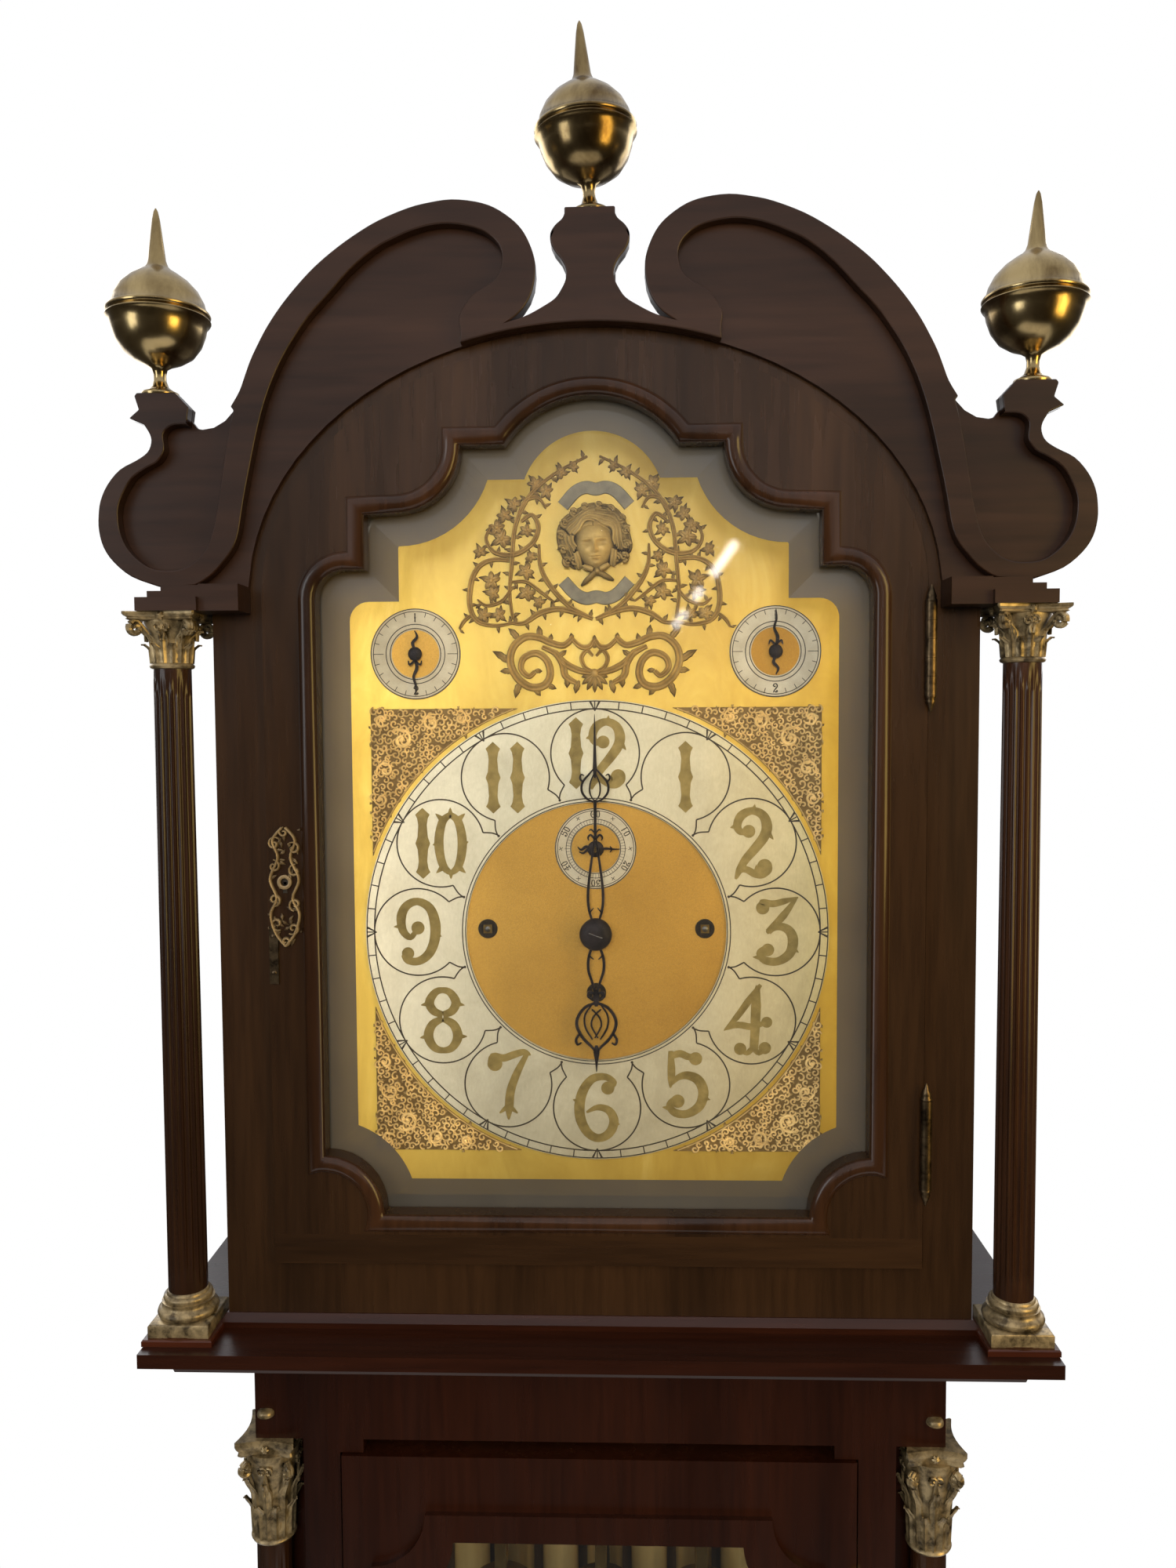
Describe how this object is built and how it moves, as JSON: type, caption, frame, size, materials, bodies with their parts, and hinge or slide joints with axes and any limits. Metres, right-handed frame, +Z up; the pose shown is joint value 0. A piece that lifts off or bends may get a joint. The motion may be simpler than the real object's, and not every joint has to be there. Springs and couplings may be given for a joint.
{
  "type": "longcase clock",
  "caption": "Tall mahogany floor clock with a sliding arched hood, swan-neck pediment, glazed doors, brass dial, weight-driven movement and chime tubes.",
  "frame": {"origin": "floor level under the middle of the clock's overall box", "axes": "+Z up; the dial faces -Y; +X to the viewer's right when facing the dial"},
  "size_m": [0.599, 0.3, 2.3344],
  "materials": {
    "mahogany": "french polished",
    "brass": "polished and lacquered",
    "aged_brass": "cast and gilt, aged",
    "silvered_brass": "silvered, satin",
    "blued_steel": "black, semi-gloss",
    "plate_glass": "bevelled, clear",
    "steel": "polished",
    "gut_line": "twisted gut"
  },
  "bodies": {
    "case": {"skirting": "mahogany", "base_box": "mahogany", "case_mouldings": "mahogany", "trunk_sides": "mahogany", "trunk_frame": "mahogany", "trunk_columns": "mahogany", "trunk_column_mounts": "brass", "backboard": "mahogany", "seat_board": "mahogany", "tube_rail": "mahogany", "chime_tubes": "brass", "trunk_hinge_leaves": "brass", "dial_plate": "brass", "chapter_ring": "silvered_brass", "small_rings": "silvered_brass", "corner_spandrels": "aged_brass", "arch_ornaments": "aged_brass", "movement_frame": "brass", "strike_line": "gut_line", "going_line": "gut_line", "chime_line": "gut_line"},
    "trunk_door": {"trunk_door": "mahogany", "trunk_glass": "plate_glass", "trunk_door_leaves": "brass"},
    "hood": {"hood_shelf": "mahogany", "hood_sides": "mahogany", "hood_front": "mahogany", "hood_roof": "mahogany", "pediment_board": "mahogany", "pediment_border": "mahogany", "pediment_soffit": "mahogany", "finials": "aged_brass", "hood_columns": "mahogany", "hood_column_mounts": "brass", "hood_hinge_leaves": "brass"},
    "hood_door": {"hood_door": "mahogany", "hood_glass": "plate_glass", "hood_door_bead": "mahogany", "hood_door_leaves": "brass", "hood_escutcheon": "aged_brass"},
    "minute_arbor": {"centre_arbor": "brass", "minute_hand": "blued_steel"},
    "minute_wheel": {"minute_wheel": "brass"},
    "hour": {"hour_wheel": "brass", "hour_hand": "blued_steel"},
    "great_wheel": {"great_wheel": "brass"},
    "third_wheel": {"third_wheel": "brass"},
    "escape": {"escape_wheel": "brass", "seconds_hand": "blued_steel"},
    "pallets": {"pallets": "steel"},
    "pendulum": {"pendulum_rod": "mahogany", "pendulum_bob": "brass"},
    "strike_selector": {"strike_selector_hand": "blued_steel"},
    "chime_selector": {"chime_selector_hand": "blued_steel"},
    "strike_drum": {"strike_drum": "brass"},
    "going_drum": {"going_drum": "brass"},
    "chime_drum": {"chime_drum": "brass"},
    "strike_weight": {"strike_weight": "brass"},
    "going_weight": {"going_weight": "brass"},
    "chime_weight": {"chime_weight": "brass"}
  },
  "joints": [
    {"name": "hood_slide", "type": "slide", "parent": "case", "child": "hood", "axis": [0, -1, 0], "range_m": [0, 0.26]},
    {"name": "hood_door_hinge", "type": "hinge", "parent": "hood", "child": "hood_door", "pos_m": [0.2036, -0.1197, 1.78], "axis": [0, 0, 1], "range_deg": [0, 100]},
    {"name": "trunk_door_hinge", "type": "hinge", "parent": "case", "child": "trunk_door", "pos_m": [0.1656, -0.1137, 1], "axis": [0, 0, 1], "range_deg": [0, 100]},
    {"name": "minute_turn", "type": "hinge", "parent": "case", "child": "minute_arbor", "pos_m": [0, 0, 1.78], "axis": [0, 1, 0], "continuous": true},
    {"name": "minute_wheel_turn", "type": "hinge", "parent": "case", "child": "minute_wheel", "pos_m": [0.01958, 0, 1.78913], "axis": [0, 1, 0], "continuous": true},
    {"name": "hour_turn", "type": "hinge", "parent": "case", "child": "hour", "pos_m": [0, 0, 1.78], "axis": [0, 1, 0], "continuous": true},
    {"name": "great_wheel_turn", "type": "hinge", "parent": "case", "child": "great_wheel", "pos_m": [0, 0, 1.73944], "axis": [0, 1, 0], "continuous": true},
    {"name": "third_wheel_turn", "type": "hinge", "parent": "case", "child": "third_wheel", "pos_m": [-0.00898, 0, 1.81113], "axis": [0, 1, 0], "continuous": true},
    {"name": "escape_turn", "type": "hinge", "parent": "case", "child": "escape", "pos_m": [0, 0, 1.835], "axis": [0, 1, 0], "continuous": true},
    {"name": "pendulum_swing", "type": "hinge", "parent": "case", "child": "pendulum", "pos_m": [0, 0, 1.866], "axis": [0, 1, 0], "range_deg": [-2.5, 2.5]},
    {"name": "pallets_rock", "type": "hinge", "parent": "case", "child": "pallets", "pos_m": [0, 0, 1.866], "axis": [0, 1, 0], "range_deg": [-2.5, 2.5]},
    {"name": "strike_selector_turn", "type": "hinge", "parent": "case", "child": "strike_selector", "pos_m": [-0.117, 0, 1.963], "axis": [0, 1, 0], "range_deg": [-40, 40]},
    {"name": "chime_selector_turn", "type": "hinge", "parent": "case", "child": "chime_selector", "pos_m": [0.117, 0, 1.963], "axis": [0, 1, 0], "range_deg": [-60, 60]},
    {"name": "strike_weight_fall", "type": "slide", "parent": "case", "child": "strike_weight", "axis": [0, 0, -1], "range_m": [0, 0.6], "deforming": ["strike_line"]},
    {"name": "strike_drum_turn", "type": "hinge", "parent": "case", "child": "strike_drum", "pos_m": [-0.0715, 0, 1.782], "axis": [0, 1, 0], "range_deg": [0, 2853.4]},
    {"name": "going_weight_fall", "type": "slide", "parent": "case", "child": "going_weight", "axis": [0, 0, -1], "range_m": [0, 0.6], "deforming": ["going_line"]},
    {"name": "going_drum_turn", "type": "hinge", "parent": "case", "child": "going_drum", "pos_m": [0, 0, 1.73944], "axis": [0, 1, 0], "range_deg": [0, 2853.4]},
    {"name": "chime_weight_fall", "type": "slide", "parent": "case", "child": "chime_weight", "axis": [0, 0, -1], "range_m": [0, 0.6], "deforming": ["chime_line"]},
    {"name": "chime_drum_turn", "type": "hinge", "parent": "case", "child": "chime_drum", "pos_m": [0.0715, 0, 1.782], "axis": [0, 1, 0], "range_deg": [0, 2853.4]}
  ],
  "couplings": [
    {"joint": "minute_wheel_turn", "follows": "minute_turn", "ratio": -0.33333},
    {"joint": "hour_turn", "follows": "minute_turn", "ratio": 0.083333},
    {"joint": "great_wheel_turn", "follows": "minute_turn", "ratio": -0.083333},
    {"joint": "third_wheel_turn", "follows": "minute_turn", "ratio": -8},
    {"joint": "escape_turn", "follows": "minute_turn", "ratio": 60},
    {"joint": "pallets_rock", "follows": "pendulum_swing", "ratio": 1},
    {"joint": "strike_drum_turn", "follows": "strike_weight_fall", "rad_per_m": 82.988},
    {"joint": "going_drum_turn", "follows": "going_weight_fall", "rad_per_m": 82.988},
    {"joint": "chime_drum_turn", "follows": "chime_weight_fall", "rad_per_m": 82.988}
  ]
}
